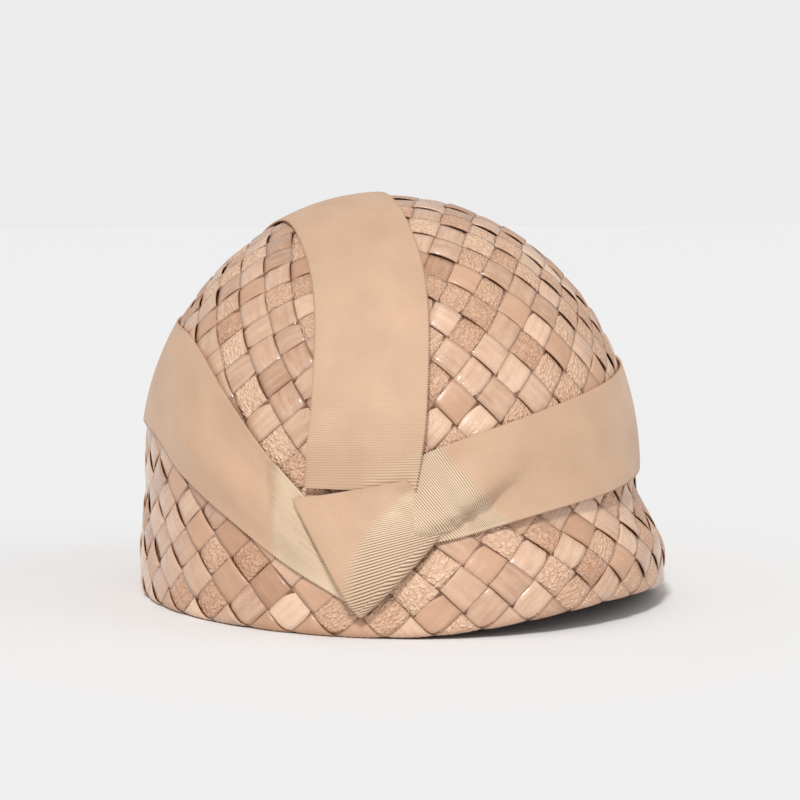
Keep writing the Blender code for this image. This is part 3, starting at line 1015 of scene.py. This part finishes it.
def make_knot(material):
    """Patch of the same ribbon folded over the joint.

    u runs from the free selvedge to the upper right, and v from the crease at the top to
    the lower right. Points are straight mixes of the four corners, out along the normal:
    the height eases up from the crease to a soft peak, falls by a power to the top of the
    roll, follows most of a half circle of radius roll and turns under. At the upper right it
    sinks into the band."""
    corners = {key: directions(*value) for key, value in KNOT_CORNERS.items()}
    v = np.linspace(0.0, 1.0, 321)[:, None]
    u = np.linspace(0.0, 1.0, 61)[None, :]
    bend = np.clip((v - KNOT_TURNING) / (1.0 - KNOT_TURNING), 0.0, 1.0) * np.pi * 0.95
    flat_v = np.clip(v / KNOT_TURNING, 0.0, 1.0)
    roll = KNOT_ROLL_SMALL \
        + KNOT_ROLL_MORE * np.sin(np.pi * np.clip(u * 0.85 + 0.12, 0.0, 1.0))
    upper = (1.0 - u)[..., None] * corners["left"] + u[..., None] * corners["top"]
    lower = (1.0 - u)[..., None] * corners["foot"] + u[..., None] * corners["right"]
    down = unit(lower - upper)
    right = unit(upper[:, -1:] - upper[:, :1])
    reach_v = flat_v * (1.0 - roll / KNOT_LENGTH)
    way = (1.0 - reach_v)[..., None] * upper + reach_v[..., None] * lower
    way = unit(way + down * (np.sin(bend) * roll / FRONT_RADIUS)[..., None])
    crease = RIBBON_SEAT + LAYER_STEP + KNOT_OVER_CREASE
    top = RIBBON_SEAT + KNOT_OVER_BAND + 2.0 * roll
    peak = top + KNOT_PUFF
    height = crease + (peak - crease) * smooth_step(flat_v / 0.55) \
        - (peak - top) * np.clip((flat_v - 0.5) / 0.5, 0.0, 1.0) ** 2.2
    sunk = crease + (KNOT_SUNK - crease) * smooth_step(flat_v / 0.45) \
        + KNOT_SUNK_RISE * smooth_step((flat_v - 0.4) / 0.5)
    dip = smooth_step((u - 0.72) / 0.28)
    height = height + (sunk - height) * dip - roll * (1.0 - np.cos(bend))
    free = 1.0 - smooth_step(u / 0.3)
    height = height + KNOT_EDGE_PROUD * free * np.sin(np.pi * flat_v) ** 0.6
    phase = flat_v * KNOT_RUN * (1.0 - 0.45 * u) + (v - flat_v * KNOT_TURNING) * KNOT_ROLL_RUN
    rib = np.cos(2.0 * np.pi * phase / RIB_PITCH)
    # Ribs show on the roll and towards the foot: deeper relief, with the ribbon's painted
    # highlight and groove shade.
    strength = smooth_step((flat_v - 0.80 + 0.74 * u) / 0.18)
    strength = 0.1 + 0.9 * np.clip(strength, 0.0, 1.0)
    height = height + rib_relief(strength, rib)
    tooth = KNOT_TOOTH * rib * (u == 0.0)
    way = unit(way - right * (tooth / FRONT_RADIUS)[..., None])
    points = surface_points(way) + surface_normals(way) * height[..., None]
    uv = np.stack(np.broadcast_arrays(phase, (u - 0.5) * RIBBON_WIDTH), axis=-1)
    return sheet_object("grosgrain_knot", points[None], uv[None], strength[None], RIBBON_WALL,
                        material)


knot = make_knot(RIBBON)


def make_head_band(material):
    """Cloth band behind the wall: points of the wall moved in, square to it, by the
    straw's thickness, with a shallow wave round it."""
    bearing = np.linspace(0.0, 360.0, 361)[:, None]
    foot = HEM_ROLL + HEAD_BAND_SEAT
    height = np.linspace(foot, foot + HEAD_BAND_HEIGHT, 17)[None, :]
    small = 0.0005
    slack = 0.0003
    here = wall_points(bearing, height)
    above = wall_points(bearing, height + small)
    beside = wall_points(bearing + 0.2, height)
    outward = unit(np.cross(beside - here, above - here))
    wave = slack * np.sin(np.radians(bearing) * 23.0) * (height - foot) / HEAD_BAND_HEIGHT
    depth = STRAW_WALL + HEAD_BAND_SEAT + slack + wave
    points = here - outward * depth[..., None]
    around = bearing / 360.0 * HEAD_BAND_LENGTH
    uv = np.stack(np.broadcast_arrays(around, height), axis=-1)
    tone = np.full(points.shape[:2], 0.5)
    return sheet_object("head_band_cloth", points[None], uv[None], tone[None],
                        -HEAD_BAND_WALL, material)


head_band = make_head_band(band_material())

for piece, node in ((band, "ribbon_band"), (strip, "crown_strip"), (knot, "ribbon_knot"),
                    (head_band, "head_band")):
    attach(piece, "root")
    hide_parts(node)


# Floor, light and camera

def stage_material(name, colour, roughness):
    """Plain surface of one colour."""
    material, _, shader = new_material(name, roughness)
    shader.inputs["Base Color"].default_value = colour
    return material


def make_floor():
    """Wide flat floor at z = 0."""
    mesh = bpy.data.meshes.new("floor")
    half = 6.0
    mesh.from_pydata([(-half, -half, 0.0), (half, -half, 0.0), (half, half, 0.0),
                      (-half, half, 0.0)], [], [(0, 1, 2, 3)])
    mesh.materials.append(stage_material("pale floor", (0.86, 0.86, 0.86, 1.0), 0.9))
    floor = bpy.data.objects.new("floor", mesh)
    bpy.context.scene.collection.objects.link(floor)
    return floor


def add_light(name, place, strength, spread):
    """Far light that shines from a place's side towards the hat, spread degrees across."""
    data = bpy.data.lights.new(name, "SUN")
    data.energy = strength
    data.angle = math.radians(spread)
    light = bpy.data.objects.new(name, data)
    light.location = place
    flat = math.hypot(place[0], place[1])
    light.rotation_euler = (math.atan2(flat, place[2]), 0.0, math.atan2(place[0], -place[1]))
    bpy.context.scene.collection.objects.link(light)


def make_world(lit, seen):
    """White surroundings: lit is their strength as light, and seen the one that the camera
    sees, which matches the floor."""
    world = bpy.data.worlds.new("studio")
    world.use_nodes = True
    net = Net(world.node_tree)
    background = world.node_tree.nodes["Background"]
    background.inputs["Color"].default_value = (1.0, 1.0, 1.0, 1.0)
    path = net.add("ShaderNodeLightPath").outputs["Is Camera Ray"]
    net.wire(net.remap(path, 0.0, 1.0, lit, seen), background.inputs["Strength"])
    bpy.context.scene.world = world


make_floor()
add_light("key", (-0.55, -1.0, 1.25), 2.05, 10.0)
add_light("fill", (1.1, -0.7, 0.6), 0.35, 40.0)
make_world(0.5, 0.84)
bpy.context.scene.view_settings.view_transform = "Standard"

CAMERA_AZIMUTH = math.radians(-17.0)
CAMERA_ELEVATION = math.radians(5.0)
CAMERA_DISTANCE = 1.0
CAMERA_AIM = np.array([0.0, 0.0, 0.072])
camera_data = bpy.data.cameras.new("camera")
camera_data.lens = 119.0
camera = bpy.data.objects.new("camera", camera_data)
away = np.array([math.sin(CAMERA_AZIMUTH) * math.cos(CAMERA_ELEVATION),
                 -math.cos(CAMERA_AZIMUTH) * math.cos(CAMERA_ELEVATION),
                 math.sin(CAMERA_ELEVATION)])
camera.location = CAMERA_AIM + CAMERA_DISTANCE * away
camera.rotation_euler = (math.pi / 2.0 - CAMERA_ELEVATION, 0.0, CAMERA_AZIMUTH)
bpy.context.scene.collection.objects.link(camera)
bpy.context.scene.camera = camera
